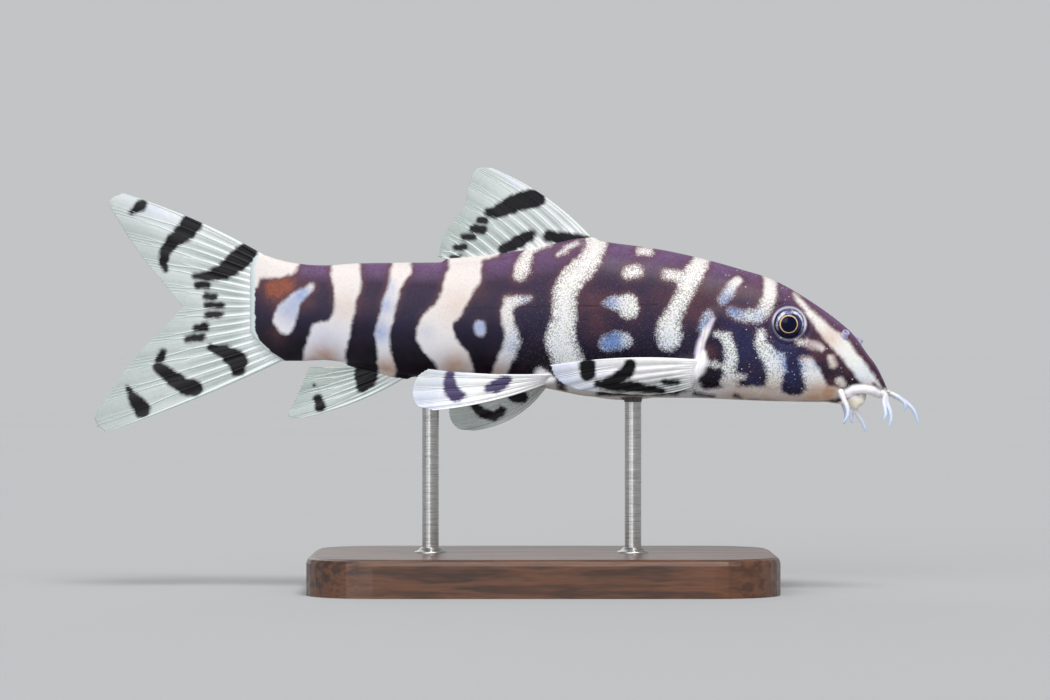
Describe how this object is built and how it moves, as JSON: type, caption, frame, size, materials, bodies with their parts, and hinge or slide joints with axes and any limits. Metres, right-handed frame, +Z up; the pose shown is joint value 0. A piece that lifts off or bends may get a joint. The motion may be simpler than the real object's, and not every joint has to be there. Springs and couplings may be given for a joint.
{
  "type": "life-size spotted loach model on a display stand",
  "caption": "Life-size spotted loach with barred and spotted skin, feelers and ribbed fins, held level above a flat oblong base by short upright rods.",
  "frame": {"origin": "middle of the model's footprint box on the surface the base stands on, under the middle of the fish's whole length", "axes": "+X to the fish's snout, +Z up to its back, -Y to its right side, which is the side shown; all in metres"},
  "size_m": [0.1101, 0.04, 0.0564],
  "materials": {
    "skin": "satin, wet looking, purple-brown with cream bars and spots",
    "eye": "clear gloss over a blue-black eye with a thin gold ring",
    "fin": "thin, milky and slightly see-through, with black marks",
    "barbel": "satin, white to pale blue",
    "base": "dark wood, waxed",
    "rod": "brushed"
  },
  "bodies": {
    "root": {"head": "skin", "torso": "skin", "tail": "skin", "eye_right": "eye", "eye_left": "eye", "dorsal_fin": "fin", "caudal_fin_upper": "fin", "caudal_fin_lower": "fin", "anal_fin": "fin", "pelvic_fin_right": "fin", "pelvic_fin_left": "fin", "pectoral_fin_right": "fin", "pectoral_fin_left": "fin", "rostral_barbels_right": "barbel", "rostral_barbels_left": "barbel", "maxillary_barbel_right": "barbel", "maxillary_barbel_left": "barbel", "mandibular_barbel_right": "barbel", "mandibular_barbel_left": "barbel", "stand_base": "base", "stand_rod_front": "rod", "stand_rod_rear": "rod"}
  },
  "joints": []
}
